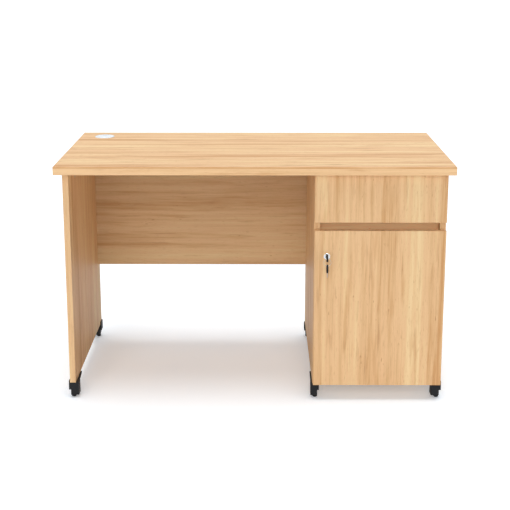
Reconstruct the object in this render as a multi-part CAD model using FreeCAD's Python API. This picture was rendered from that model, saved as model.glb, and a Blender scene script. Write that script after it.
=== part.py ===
import FreeCAD, Part
import math
import os

V = FreeCAD.Vector

# Office desk, millimetres. X runs to the right, Y to the rear, Z up.
# The origin is on the floor, under the middle of the desk's own box.

# Driving sizes of the desk
desk_height = 750.0
worktop_width = 1200.0
worktop_depth = 600.0
worktop_thickness = 25.0
board = 18.0
side_overhang = 20.0
front_setback = 20.0
front_board = 18.0
front_gap = 2.0
foot_height = 51.0
pedestal_width = 400.0
back_board = 18.0
overrun = 1.0

# Modesty panel at the back of the knee space
modesty_drop = 444.0
modesty_inset = 24.0

# Drawer and door fronts
door_side_reveal = 1.0
door_bottom_reveal = 1.3
finger_gap = 25.8
drawer_front_height = 146.8
front_top_reveal = 3.0
front_edge_round = 1.0

# Finger rail and divider between drawer and cupboard
rail_setback = 28.0
rail_height = 50.0
divider_over_gap = 3.0
top_rail_depth = 90.0

# Shelf and its pins
shelf_front_inset = 30.0
shelf_side_play = 1.0
shelf_back_play = 4.0
shelf_level_share = 0.5
pin_radius = 2.5
pin_depth = 9.0
pin_length = 8.0
pin_collar_radius = 4.0
pin_collar = 1.2
pin_inset = 37.0
pin_pitch = 32.0
pin_rows_each_way = 2

# Worktop edging strip
edging = 2.0
edge_round = 2.0
edge_break = 1.0

# Cable grommet
grommet_from_left = 83.0
grommet_from_rear = 84.0
grommet_hole_radius = 30.0
grommet_flange_radius = 33.0
grommet_flange = 2.5
grommet_wall = 2.0
grommet_tube = 20.0
grommet_ledge = 1.6
grommet_ledge_drop = 3.0
cap_play = 0.3
cap_thickness = 2.6
cap_rim = 1.8
cap_rim_drop = 6.0
cap_slot_width = 20.0
cap_slot_length = 16.0
cap_pull_radius = 8.0
cap_pull_depth = 1.0

# Feet and screw glides
foot_block_depth = 32.0
foot_overhang = 9.3
foot_lip = 4.0
foot_lip_up = 8.0
foot_lip_down = 23.5
foot_step = 2.0
foot_plate = 5.0
foot_plate_length = 95.0
foot_tail_overhang = 4.0
foot_corner = 3.0
foot_screw_shares = (0.45, 0.85)
foot_inner_overhang = 5.2
foot_inner_lip = 3.4
glide_height = 10.0
glide_radius = 7.5
glide_from_end = 15.0
glide_bevel = 2.0
glide_stem_radius = 4.0
glide_stem_length = 28.0
glide_collar_radius = 5.5
glide_collar = 3.0
glide_play = 0.05

# Drawer box
drawer_back_clearance = 44.0
drawer_side_height = 100.0
drawer_side = 12.0
runner_space = 12.5
drawer_lift = 12.0
drawer_bottom_board = 3.0
drawer_groove = 6.0
drawer_groove_up = 10.0

# Roller runners
runner_sheet = 1.2
roller_radius = 8.5
roller_width = 6.0
roller_play = 0.3
roller_bore_play = 0.05
roller_pin_radius = 2.0
roller_pin_head_radius = 3.2
roller_pin_head = 0.6
cabinet_flange = 10.2
drawer_flange = 9.0
runner_front_inset = 2.0
roller_front_inset = 14.0
roller_rear_inset = 14.0
runner_hold_down = 0.8
runner_screw_shares = (0.074, 0.522, 0.906)
runner_seat_screw = 8.5

# Screws
screw_radius = 1.75
screw_length = 13.0
screw_head_radius = 3.4
screw_head = 1.1
screw_slot_width = 0.8
screw_slot_depth = 0.5

# Cam fittings and dowels
cam_radius = 7.5
cam_depth = 12.5
cam_setback = 34.0
cam_bolt_radius = 3.0
cam_bolt_bite = 11.0
cam_neck_radius = 2.0
cam_head_radius = 3.4
cam_head_length = 4.0
cam_recess_play = 0.3
cam_slot_width = 1.6
cam_slot_depth = 1.5
dowel_radius = 4.0
dowel_length = 30.0
dowel_bite = 12.0
dowel_beside = 32.0
worktop_fitting_inset = 120.0
board_fitting_inset = 110.0
back_fitting_inset = 60.0
modesty_fitting_inset = 50.0

# Door hinge
hinge_from_end = 96.0
cup_radius = 17.5
cup_depth = 11.5
cup_wall = 1.2
cup_edge = 5.0
cup_flange_length = 62.0
cup_flange_width = 17.0
cup_flange = 1.2
cup_screw_spacing = 48.0
arm_width = 14.0
arm_height = 10.0
arm_sheet = 1.4
arm_nose_gap = 3.0
arm_length = 58.0
plate_setback = 37.0
plate_length = 50.0
plate_width = 18.0
plate_thickness = 2.0
plate_boss_width = 11.0
plate_screw_spacing = 32.0

# Cam lock, its striker, keys and ring
lock_from_edge = 38.0
lock_from_top = 80.0
lock_body_radius = 8.0
lock_rose_radius = 10.0
lock_rose = 2.0
lock_rose_bevel = 0.8
lock_tail = 4.0
lock_flange_radius = 12.0
lock_flange = 1.5
plug_radius = 5.0
plug_play = 0.05
plug_proud = 0.4
plug_square = 6.0
keyway_width = 2.4
keyway_height = 7.4
cam_plate = 2.0
cam_plate_width = 14.0
cam_plate_tip_gap = 0.5
cam_nut_radius = 4.0
cam_nut = 2.5
strike_sheet = 1.5
strike_lip = 11.0
strike_leg = 22.0
strike_height = 34.0
strike_gap = 0.5
key_blade = 2.0
key_blade_height = 6.6
key_blade_length = 13.0
key_neck = 5.0
key_bow_radius = 11.5
key_bow_thickness = 5.0
key_bow_flat = 3.0
key_hole_radius = 1.9
key_hole_inset = 4.2
key_shoulder_height = 8.0
key_play = 0.2
ring_radius = 11.2
ring_wire = 0.6
bumper_radius = 4.0
bumper_play = 0.3
bumper_inset = 9.0

# Planes and lines that follow from the sizes above
underside = desk_height - worktop_thickness
hanging_key_reach = lock_rose + plug_proud + key_neck + 2 * key_bow_radius - key_hole_inset + key_bow_radius
key_beyond_top = hanging_key_reach - front_setback
front_y = -(worktop_depth + key_beyond_top) / 2 + key_beyond_top
rear_y = front_y + worktop_depth
face_y = front_y + front_setback
front_rear_y = face_y + front_board
carcass_y = front_rear_y + front_gap
left_x = -worktop_width / 2 + side_overhang
right_x = worktop_width / 2 - side_overhang
left_in_x = left_x + board
ped_x = right_x - pedestal_width
ped_in_left = ped_x + board
ped_in_right = right_x - board
back_y = rear_y - back_board
modesty_y = rear_y - modesty_inset - board
modesty_z = underside - modesty_drop
door_left_x = ped_x + door_side_reveal
door_right_x = right_x - door_side_reveal
drawer_front_top = underside - front_top_reveal
drawer_front_z = drawer_front_top - drawer_front_height
door_top_z = drawer_front_z - finger_gap
door_z = foot_height + door_bottom_reveal
rail_y = carcass_y + rail_setback
divider_top_z = drawer_front_z + divider_over_gap
divider_z = divider_top_z - board
rail_z = divider_top_z - rail_height
bottom_top_z = foot_height + board
shelf_top_z = bottom_top_z + (rail_z - bottom_top_z) * shelf_level_share
shelf_z = shelf_top_z - board
drawer_z = divider_top_z + drawer_lift
drawer_left_x = ped_in_left + runner_space
drawer_right_x = ped_in_right - runner_space
drawer_rear_y = back_y - drawer_back_clearance
runner_length = drawer_rear_y - front_rear_y
drawer_floor_z = drawer_z + drawer_groove_up
roller_z = drawer_z + roller_radius + roller_play + runner_sheet
cabinet_flange_top = roller_z - roller_radius - roller_play
drawer_flange_low = roller_z + roller_radius + roller_play
runner_y = carcass_y + runner_front_inset
front_roller_y = carcass_y + roller_front_inset
rear_roller_y = drawer_rear_y - roller_rear_inset
cup_x = door_right_x - cup_edge - cup_radius
hinge_levels = (door_z + hinge_from_end, door_top_z - hinge_from_end)
lock_x = door_left_x + lock_from_edge
lock_z = door_top_z - lock_from_top
cam_plate_reach = lock_x - ped_in_left - strike_sheet - cam_plate_tip_gap
grommet_x = -worktop_width / 2 + grommet_from_left
grommet_y = rear_y - grommet_from_rear

PIECES = {}
DRILLED = {}


def box(x0, x1, y0, y1, z0, z1):
    return Part.makeBox(x1 - x0, y1 - y0, z1 - z0, V(x0, y0, z0))


def rod(radius, start, direction, length):
    return Part.makeCylinder(radius, length, start, direction)


def fuse(shapes):
    joined = shapes[0].fuse(list(shapes[1:])) if len(shapes) > 1 else shapes[0]
    return joined.removeSplitter()


def rounded_edges(solid, radius, keep):
    """Round the edges for which keep(edge) is true."""
    return solid.makeFillet(radius, [e for e in solid.Edges if keep(e)])


def broken_edges(solid, depth, keep):
    """Bevel the edges for which keep(edge) is true."""
    return solid.makeChamfer(depth, [e for e in solid.Edges if keep(e)])


def along(edge, axis):
    """True for a straight edge along the unit vector axis."""
    ends = [v.Point for v in edge.Vertexes]
    if len(ends) < 2:
        return False
    span = ends[1] - ends[0]
    return abs(abs(span.normalize().dot(axis)) - 1) < 1e-6


def add(node, *solids):
    PIECES.setdefault(node, []).extend(solids)


def drill(node, *cutters):
    DRILLED.setdefault(node, []).extend(cutters)


def write_pieces():
    os.makedirs("parts", exist_ok=True)
    for node, solids in PIECES.items():
        if node in DRILLED:
            solids = [s.cut(DRILLED[node]) for s in solids]
        shape = solids[0] if len(solids) == 1 else Part.makeCompound(solids)
        shape.exportStep(os.path.join("parts", node + ".step"))


def screw(start, direction, radius=screw_radius, length=screw_length, head=screw_head_radius):
    """A flat-topped pan screw whose head sits on start and whose shank runs along direction."""
    shank = rod(radius, start, direction, length)
    top = rod(head, start - direction * screw_head, direction, screw_head)
    side = direction.cross(V(0, 0, 1)) if abs(direction.z) < 0.5 else V(1, 0, 0)
    side = side.normalize()
    third = direction.cross(side)
    corner = start - direction * screw_head - side * head - third * (screw_slot_width / 2)
    slot = Part.Face(Part.makePolygon([
        corner, corner + side * 2 * head, corner + side * 2 * head + third * screw_slot_width,
        corner + third * screw_slot_width, corner])).extrude(direction * screw_slot_depth)
    return fuse([shank, top]).cut(slot)


def fasten(node, carriers, start, direction, **sizes):
    """Add a screw to node and its hole to the pieces it enters."""
    add(node, screw(start, direction, **sizes))
    hole = rod(sizes.get("radius", screw_radius), start, direction, sizes.get("length", screw_length))
    for carrier in carriers:
        drill(carrier, hole)


def cam_fitting(disc_board, bolt_board, face_point, into, toward):
    """A cam disc sunk into a board's face and the bolt that it draws from the next board.

    face_point is the disc's centre on the board's face, into points into that board, and toward
    points at the other board's face, which lies cam_setback away.
    """
    bolt_depth = board / 2
    disc = rod(cam_radius, face_point, into, cam_depth)
    axis_point = face_point + into * bolt_depth
    recess = rod(cam_head_radius + cam_recess_play, axis_point - toward * (cam_head_length / 2), toward,
                 cam_radius + cam_head_length)
    across = into.cross(toward)
    corner = face_point - across * cam_radius - toward * (cam_slot_width / 2)
    slot = Part.Face(Part.makePolygon([
        corner, corner + across * 2 * cam_radius, corner + across * 2 * cam_radius + toward * cam_slot_width,
        corner + toward * cam_slot_width, corner])).extrude(into * cam_slot_depth)
    add("cam_discs", disc.cut([recess, slot]))
    face = axis_point + toward * cam_setback
    neck_start = axis_point + toward * (cam_head_length / 2)
    head = rod(cam_head_radius, axis_point - toward * (cam_head_length / 2), toward, cam_head_length)
    neck = rod(cam_neck_radius, neck_start, toward, cam_setback - cam_head_length / 2)
    thread = rod(cam_bolt_radius, face, toward, cam_bolt_bite)
    add("cam_bolts", fuse([head, neck, thread]))
    drill(disc_board, disc, rod(cam_head_radius + cam_recess_play, axis_point, toward, cam_setback))
    drill(bolt_board, thread)


def dowel(boards, face_point, toward):
    """A fluted-pin blank half in each of two boards that meet at face_point."""
    start = face_point - toward * (dowel_length - dowel_bite)
    pin = rod(dowel_radius, start, toward, dowel_length)
    add("dowels", pin)
    for name in boards:
        drill(name, pin)


def make_worktop():
    half = worktop_width / 2
    core = box(-half + edging, half - edging, front_y + edging, rear_y - edging, underside, desk_height)
    hole = rod(grommet_hole_radius, V(grommet_x, grommet_y, underside - overrun), V(0, 0, 1),
               worktop_thickness + 2 * overrun)
    add("worktop", core.cut(hole))
    outer = box(-half, half, front_y, rear_y, underside, desk_height)
    outer = rounded_edges(outer, edge_round, lambda e: along(e, V(0, 0, 1)))
    outer = rounded_edges(outer, edge_break, lambda e: e.BoundBox.ZLength < edge_break)
    ring = outer.cut(box(-half + edging, half - edging, front_y + edging, rear_y - edging,
                         underside - overrun, desk_height + overrun))
    add("worktop_edging", ring)


def make_grommet():
    top = desk_height
    centre = V(grommet_x, grommet_y, 0)
    inner = grommet_hole_radius - grommet_wall
    tube_r = grommet_hole_radius
    ledge_top = top + grommet_flange - grommet_ledge_drop
    profile = [
        V(inner, 0, top - grommet_tube), V(tube_r, 0, top - grommet_tube), V(tube_r, 0, top),
        V(grommet_flange_radius, 0, top), V(grommet_flange_radius, 0, top + grommet_flange / 2),
        V(tube_r, 0, top + grommet_flange), V(inner, 0, top + grommet_flange), V(inner, 0, ledge_top),
        V(inner - grommet_ledge, 0, ledge_top), V(inner - grommet_ledge, 0, ledge_top - grommet_ledge),
        V(inner, 0, ledge_top - grommet_ledge), V(inner, 0, top - grommet_tube)]
    profile = [p + centre for p in profile]
    liner = Part.Face(Part.makePolygon(profile)).revolve(centre, V(0, 0, 1), 360)
    add("grommet_liner", Part.Solid(liner) if liner.ShapeType == "Shell" else liner)

    cap_r = inner - cap_play
    rim_r = inner - grommet_ledge - cap_play
    cap_z = ledge_top
    disc = rod(cap_r, centre + V(0, 0, cap_z), V(0, 0, 1), cap_thickness)
    rim = rod(rim_r, centre + V(0, 0, cap_z - cap_rim_drop), V(0, 0, 1), cap_rim_drop)
    rim = rim.cut(rod(rim_r - cap_rim, centre + V(0, 0, cap_z - cap_rim_drop - overrun), V(0, 0, 1),
                      cap_rim_drop + overrun))
    slot = box(grommet_x - cap_slot_width / 2, grommet_x + cap_slot_width / 2,
               grommet_y + cap_r - cap_slot_length, grommet_y + cap_r + overrun,
               cap_z - cap_rim_drop - overrun, cap_z + cap_thickness + overrun)
    slot = rounded_edges(slot, cap_slot_width / 4, lambda e: along(e, V(0, 0, 1)) and
                         e.Vertexes[0].Point.y < grommet_y + cap_r)
    pull = rod(cap_pull_radius, centre + V(0, -cap_r / 2, cap_z + cap_thickness - cap_pull_depth),
               V(0, 0, 1), cap_thickness)
    add("grommet_cap", fuse([disc, rim]).cut([slot, pull]))


def make_carcass():
    add("end_panel_left", box(left_x, left_in_x, carcass_y, rear_y, foot_height, underside))
    add("modesty_panel", box(left_in_x, ped_x, modesty_y, modesty_y + board, modesty_z, underside))
    add("pedestal_side_inner", box(ped_x, ped_in_left, carcass_y, rear_y, foot_height, underside))
    add("pedestal_side_outer", box(ped_in_right, right_x, carcass_y, rear_y, foot_height, underside))
    add("pedestal_bottom", box(ped_in_left, ped_in_right, carcass_y, back_y, foot_height, bottom_top_z))
    add("pedestal_back", box(ped_in_left, ped_in_right, back_y, rear_y, foot_height, underside))
    add("pedestal_divider", box(ped_in_left, ped_in_right, rail_y + board, back_y, divider_z, divider_top_z))
    add("finger_rail", box(ped_in_left, ped_in_right, rail_y, rail_y + board, rail_z, divider_top_z))
    for y0 in (carcass_y, back_y - top_rail_depth):
        add("top_rails", box(ped_in_left, ped_in_right, y0, y0 + top_rail_depth, underside - board, underside))


def make_fittings():
    left, right, up, rear = V(-1, 0, 0), V(1, 0, 0), V(0, 0, 1), V(0, 1, 0)
    rows = (carcass_y + worktop_fitting_inset, rear_y - worktop_fitting_inset)
    for panel, x, into in (("end_panel_left", left_in_x, left), ("pedestal_side_inner", ped_in_left, left),
                           ("pedestal_side_outer", ped_in_right, right)):
        for y in rows:
            cam_fitting(panel, "worktop", V(x, y, underside - cam_setback), into, up)
            dowel((panel, "worktop"), V(x + into.x * board / 2, y + dowel_beside, underside), up)
    for x, toward, side in ((ped_in_left, left, "pedestal_side_inner"),
                            (ped_in_right, right, "pedestal_side_outer")):
        inner = x - toward.x * cam_setback
        for name, low, first in (("pedestal_bottom", foot_height, carcass_y),
                                 ("pedestal_divider", divider_z, rail_y + board)):
            for y in (first + board_fitting_inset, back_y - board_fitting_inset):
                cam_fitting(name, side, V(inner, y, low), up, toward)
                dowel((name, side), V(x, y + dowel_beside, low + board / 2), toward)
        dowel(("finger_rail", side), V(x, rail_y + board / 2, rail_z + rail_height / 2), toward)
        for y0 in (carcass_y, back_y - top_rail_depth):
            cam_fitting("top_rails", side, V(inner, y0 + top_rail_depth / 2, underside - board), up, toward)
        for z in (bottom_top_z + back_fitting_inset, divider_z - back_fitting_inset,
                  underside - board - back_fitting_inset):
            cam_fitting("pedestal_back", side, V(inner, rear_y, z), -rear, toward)
    for x, toward, side in ((left_in_x, left, "end_panel_left"), (ped_x, right, "pedestal_side_inner")):
        inner = x - toward.x * cam_setback
        for z in (modesty_z + modesty_fitting_inset, underside - 2 * modesty_fitting_inset):
            cam_fitting("modesty_panel", side, V(inner, modesty_y + board, z), -rear, toward)
            dowel(("modesty_panel", side), V(x, modesty_y + board / 2, z + dowel_beside), toward)


def shelf_row_ys():
    return (carcass_y + pin_inset, back_y - pin_inset)


def make_shelf():
    shelf = box(ped_in_left + shelf_side_play, ped_in_right - shelf_side_play, carcass_y + shelf_front_inset,
                back_y - shelf_back_play, shelf_z, shelf_top_z)
    add("shelf", shelf)
    walls = ((ped_in_left, V(1, 0, 0), "pedestal_side_inner"), (ped_in_right, V(-1, 0, 0), "pedestal_side_outer"))
    for x, inward, side in walls:
        for y in shelf_row_ys():
            pin_z = shelf_z - pin_radius
            spot = V(x, y, pin_z)
            shank = rod(pin_radius, spot - inward * pin_depth, inward, pin_depth + pin_length)
            collar = rod(pin_collar_radius, spot, inward, pin_collar)
            collar = collar.cut(box(x - pin_length, x + pin_length, y - board, y + board, shelf_z, shelf_top_z))
            add("shelf_pins", fuse([shank, collar]))
            for step in range(-pin_rows_each_way, pin_rows_each_way + 1):
                drill(side, rod(pin_radius, V(x, y, pin_z + step * pin_pitch) - inward * pin_depth, inward,
                                pin_depth))


def make_drawer():
    top = drawer_z + drawer_side_height
    front = box(door_left_x, door_right_x, face_y, front_rear_y, drawer_front_z, drawer_front_top)
    front = rounded_edges(front, front_edge_round, lambda e: e.BoundBox.YMax < face_y + front_edge_round)
    add("drawer_front", front)
    groove = box(drawer_left_x + drawer_side - drawer_groove, drawer_right_x - drawer_side + drawer_groove,
                 front_rear_y - drawer_groove, drawer_rear_y, drawer_floor_z,
                 drawer_floor_z + drawer_bottom_board)
    add("drawer_bottom", groove)
    drill("drawer_front", groove)
    for name, x in (("drawer_side_left", drawer_left_x), ("drawer_side_right", drawer_right_x - drawer_side)):
        add(name, box(x, x + drawer_side, front_rear_y, drawer_rear_y, drawer_z, top))
        drill(name, groove)
    add("drawer_back", box(drawer_left_x + drawer_side, drawer_right_x - drawer_side, drawer_rear_y - drawer_side,
                           drawer_rear_y, drawer_floor_z + drawer_bottom_board, top))
    rows = (drawer_floor_z + drawer_groove_up + drawer_bottom_board, top - drawer_groove_up)
    for x, inward, side in ((drawer_left_x, V(1, 0, 0), "drawer_side_left"),
                            (drawer_right_x, V(-1, 0, 0), "drawer_side_right")):
        for z in (rows[0] + drawer_groove_up, rows[1]):
            spot = V(x, drawer_rear_y - drawer_side / 2, z)
            fasten("drawer_screws", (side, "drawer_back"), spot, inward, length=drawer_side * 3)


def runner_profiles(side):
    """Cabinet and drawer members for one side, and the X of their rollers' outer faces.

    side is +1 where the cabinet wall is on the left, and -1 where it is on the right.
    """
    wall = ped_in_left if side > 0 else ped_in_right
    box_x = drawer_left_x if side > 0 else drawer_right_x

    def slab(xa, xb, y0, y1, z0, z1):
        return box(min(xa, xb), max(xa, xb), y0, y1, z0, z1)

    t = runner_sheet
    cab_top = drawer_flange_low + t + runner_hold_down
    y0, y1 = runner_y, runner_y + runner_length
    web = slab(wall, wall + side * t, y0, y1, cabinet_flange_top - t, cab_top + t)
    low = slab(wall, wall + side * cabinet_flange, y0, y1, cabinet_flange_top - t, cabinet_flange_top)
    high = slab(wall, wall + side * cabinet_flange, y0 + 2 * roller_radius, y1, cab_top, cab_top + t)
    cabinet = fuse([web, low, high])
    y2, y3 = front_rear_y, front_rear_y + runner_length
    upright = slab(box_x - side * t, box_x, y2, y3, drawer_z - t, drawer_flange_low + t)
    seat = slab(box_x - side * t, box_x + side * drawer_side, y2, y3, drawer_z - t, drawer_z)
    track = slab(box_x - side * drawer_flange, box_x, y2, y3, drawer_flange_low, drawer_flange_low + t)
    drawer = fuse([upright, seat, track])
    middle = wall + side * (t + (runner_space - 2 * t) / 2)
    return cabinet, drawer, wall, box_x, middle


def make_runners():
    for side, word in ((1, "left"), (-1, "right")):
        cabinet, drawer, wall, box_x, middle = runner_profiles(side)
        inward = V(side, 0, 0)
        half = roller_width / 2
        pin_reach = abs(middle - wall) + half + roller_pin_head
        fixed_pin = fuse([rod(roller_pin_radius, V(wall, front_roller_y, roller_z), inward, pin_reach),
                          rod(roller_pin_head_radius, V(middle + side * half, front_roller_y, roller_z), inward,
                              roller_pin_head)])
        moving_reach = abs(box_x - middle) + half + roller_pin_head
        moving_pin = fuse([rod(roller_pin_radius, V(box_x, rear_roller_y, roller_z), -inward, moving_reach),
                           rod(roller_pin_head_radius, V(middle - side * half, rear_roller_y, roller_z), -inward,
                               roller_pin_head)])
        add("runner_cabinet_" + word, fuse([cabinet, fixed_pin]))
        add("runner_drawer_" + word, fuse([drawer, moving_pin]))
        for name, y in (("roller_cabinet_", front_roller_y), ("roller_drawer_", rear_roller_y)):
            play = roller_bore_play
            wheel = rod(roller_radius, V(middle - side * (half - play), y, roller_z), inward,
                        roller_width - 2 * play)
            wheel = wheel.cut(rod(roller_pin_radius + play, V(middle - side * roller_width, y, roller_z), inward,
                                  2 * roller_width))
            add(name + word, wheel)
        panel = "pedestal_side_inner" if side > 0 else "pedestal_side_outer"
        for inset in [share * runner_length for share in runner_screw_shares]:
            fasten("carcass_screws", (panel, "runner_cabinet_" + word),
                   V(wall + side * runner_sheet, runner_y + inset, roller_z), -inward)
            seat_z = drawer_z - runner_sheet
            fasten("drawer_screws", ("drawer_side_" + word, "runner_drawer_" + word),
                   V(box_x + side * drawer_side / 2, front_rear_y + inset, seat_z), V(0, 0, 1),
                   length=runner_seat_screw)


def make_door():
    door = box(door_left_x, door_right_x, face_y, front_rear_y, door_z, door_top_z)
    door = rounded_edges(door, front_edge_round, lambda e: e.BoundBox.YMax < face_y + front_edge_round)
    add("door", door)
    for z in (door_z + bumper_inset, door_top_z - bumper_inset):
        add("door_bumpers", rod(bumper_radius, V(door_left_x + bumper_inset, front_rear_y, z), V(0, 1, 0),
                                front_gap - bumper_play))


def make_hinges():
    into_door = V(0, -1, 0)
    for level in hinge_levels:
        mouth = V(cup_x, front_rear_y, level)
        shell = rod(cup_radius, mouth, into_door, cup_depth)
        hollow = rod(cup_radius - cup_wall, mouth + V(0, cup_flange + overrun, 0), into_door,
                     cup_depth - cup_wall + cup_flange + overrun)
        ear = box(cup_x - cup_flange_width / 2, cup_x + cup_flange_width / 2, front_rear_y,
                  front_rear_y + cup_flange, level - cup_flange_length / 2, level + cup_flange_length / 2)
        ear = rounded_edges(ear, cup_flange_width / 3, lambda e: along(e, V(0, 1, 0)))
        brim = rod(cup_radius + cup_wall, mouth, -into_door, cup_flange)
        add("hinge_cups", fuse([shell, ear, brim]).cut(hollow))
        drill("door", shell)
        for way in (-1, 1):
            spot = V(cup_x, front_rear_y + cup_flange, level + way * cup_screw_spacing / 2)
            fasten("door_screws", ("door", "hinge_cups"), spot, into_door)

        plate_y = carcass_y + plate_setback
        wall = ped_in_right
        base = box(wall - plate_thickness, wall, plate_y - plate_width / 2, plate_y + plate_width / 2,
                   level - plate_length / 2, level + plate_length / 2)
        base = rounded_edges(base, plate_width / 3, lambda e: along(e, V(1, 0, 0)))
        arm_out = wall - plate_thickness
        nose_y = front_rear_y + cup_flange + arm_nose_gap
        boss = box(arm_out - arm_height + arm_sheet, arm_out, plate_y - plate_width / 2,
                   nose_y + arm_length - arm_sheet, level - plate_boss_width / 2, level + plate_boss_width / 2)
        add("hinge_plates", fuse([base, boss]))
        channel = box(arm_out - arm_height, arm_out - plate_thickness / 2, nose_y, nose_y + arm_length,
                      level - arm_width / 2, level + arm_width / 2)
        channel = rounded_edges(channel, arm_width / 3, lambda e: along(e, V(1, 0, 0)))
        gutter = box(arm_out - arm_height + arm_sheet, arm_out, nose_y + arm_sheet,
                     nose_y + arm_length + overrun, level - arm_width / 2 + arm_sheet,
                     level + arm_width / 2 - arm_sheet)
        arm = channel.cut(gutter)
        fixing = V(arm_out - arm_height, plate_y + plate_width / 2, level)
        add("hinge_arms", arm)
        fasten("carcass_screws", ("hinge_arms", "hinge_plates"), fixing, V(1, 0, 0), length=arm_height)
        for way in (-1, 1):
            spot = V(wall - plate_thickness, plate_y, level + way * plate_screw_spacing / 2)
            fasten("carcass_screws", ("hinge_plates", "pedestal_side_outer"), spot, V(1, 0, 0))


def key_solid():
    """A key with a round bow, drawn with its shoulder at the origin and its blade along +Y.

    The bow stands in the YZ plane and its ring hole is near the far end.
    """
    bow_y = -key_neck - key_bow_radius
    bow = rod(key_bow_radius, V(-key_bow_thickness / 2, bow_y, 0), V(1, 0, 0), key_bow_thickness)
    bow = broken_edges(bow, key_bow_thickness / 4, lambda e: e.BoundBox.XLength < key_play)
    shoulder = box(-key_bow_thickness / 2, key_bow_thickness / 2, -key_neck - key_bow_flat, -key_play,
                   -key_shoulder_height / 2, key_shoulder_height / 2)
    blade = box(-key_blade / 2, key_blade / 2, -key_neck, key_blade_length, -key_blade_height / 2,
                key_blade_height / 2)
    blade = broken_edges(blade, key_blade_height / 3, lambda e: along(e, V(1, 0, 0)) and e.BoundBox.YMin > 0)
    hole = rod(key_hole_radius, V(-key_bow_thickness, bow_y - key_bow_radius + key_hole_inset, 0), V(1, 0, 0),
               2 * key_bow_thickness)
    return fuse([bow, shoulder, blade]).cut(hole)


def make_lock():
    axis_front = V(lock_x, face_y, lock_z)
    rearward = V(0, 1, 0)
    length = front_board + lock_tail
    body = rod(lock_body_radius, axis_front, rearward, length)
    rose = rod(lock_rose_radius, axis_front - rearward * lock_rose, rearward, lock_rose)
    rose = broken_edges(rose, lock_rose_bevel, lambda e: e.BoundBox.YMax < face_y - lock_rose / 2)
    flange = rod(lock_flange_radius, V(lock_x, front_rear_y, lock_z), rearward, lock_flange)
    bore = rod(plug_radius + plug_play, axis_front - rearward * (lock_rose + overrun), rearward,
               length + lock_rose + 2 * overrun)
    add("lock_housing", fuse([body, rose, flange]).cut(bore))
    drill("door", body)

    plug_start = axis_front - rearward * (lock_rose + plug_proud)
    plug_length = lock_rose + plug_proud + length + strike_gap
    plug = rod(plug_radius, plug_start, rearward, plug_length)
    half = plug_square / 2
    plug_end = plug_start.y + plug_length
    square = box(lock_x - half, lock_x + half, plug_end, plug_end + cam_plate, lock_z - half, lock_z + half)
    stud = rod(half / 2, V(lock_x, plug_end + cam_plate, lock_z), rearward, cam_nut)
    keyway = box(lock_x - keyway_width / 2, lock_x + keyway_width / 2, plug_start.y - overrun,
                 plug_start.y + key_blade_length + key_blade + lock_rose, lock_z - keyway_height / 2,
                 lock_z + keyway_height / 2)
    add("lock_plug", fuse([plug, square, stud]).cut(keyway))

    reach = cam_plate_reach - cam_plate_width / 2
    blade = box(lock_x - cam_plate_width / 2, lock_x + cam_plate_width / 2, plug_end, plug_end + cam_plate,
                lock_z - reach, lock_z)
    round_ends = [rod(cam_plate_width / 2, V(lock_x, plug_end, z), rearward, cam_plate)
                  for z in (lock_z, lock_z - reach)]
    add("lock_cam", fuse([blade] + round_ends).cut(square))
    nut_start = V(lock_x, plug_end + cam_plate, lock_z)
    hexagon = [nut_start + V(cam_nut_radius * math.cos(math.radians(60 * k)), 0,
                             cam_nut_radius * math.sin(math.radians(60 * k))) for k in range(7)]
    nut = Part.Face(Part.makePolygon(hexagon)).extrude(rearward * cam_nut)
    add("lock_cam_nut", nut.cut(stud))

    strike_y = plug_end - strike_gap - strike_sheet
    lip = box(ped_in_left, ped_in_left + strike_lip, strike_y, strike_y + strike_sheet,
              lock_z - strike_height / 2, lock_z + strike_height / 2)
    leg = box(ped_in_left, ped_in_left + strike_sheet, strike_y, strike_y + strike_leg,
              lock_z - strike_height / 2, lock_z + strike_height / 2)
    add("strike_plate", fuse([lip, leg]))
    for way in (-1, 1):
        spot = V(ped_in_left + strike_sheet, strike_y + strike_leg * 2 / 3, lock_z + way * strike_height / 3)
        fasten("carcass_screws", ("strike_plate", "pedestal_side_inner"), spot, V(-1, 0, 0))

    shoulder_y = plug_start.y
    key = key_solid()
    key.translate(V(lock_x, shoulder_y, lock_z))
    add("key", key)
    ring_y = shoulder_y - key_neck - 2 * key_bow_radius + key_hole_inset
    ring = Part.makeTorus(ring_radius, ring_wire, V(lock_x, ring_y, lock_z - ring_radius), V(0, 1, 0))
    add("key_ring", ring)
    spare = key_solid()
    spare.rotate(V(0, 0, 0), V(1, 0, 0), -90)
    hang = -key_neck - 2 * key_bow_radius + key_hole_inset
    spare.translate(V(lock_x, ring_y, lock_z - 2 * ring_radius + hang))
    add("spare_key", spare)


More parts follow.
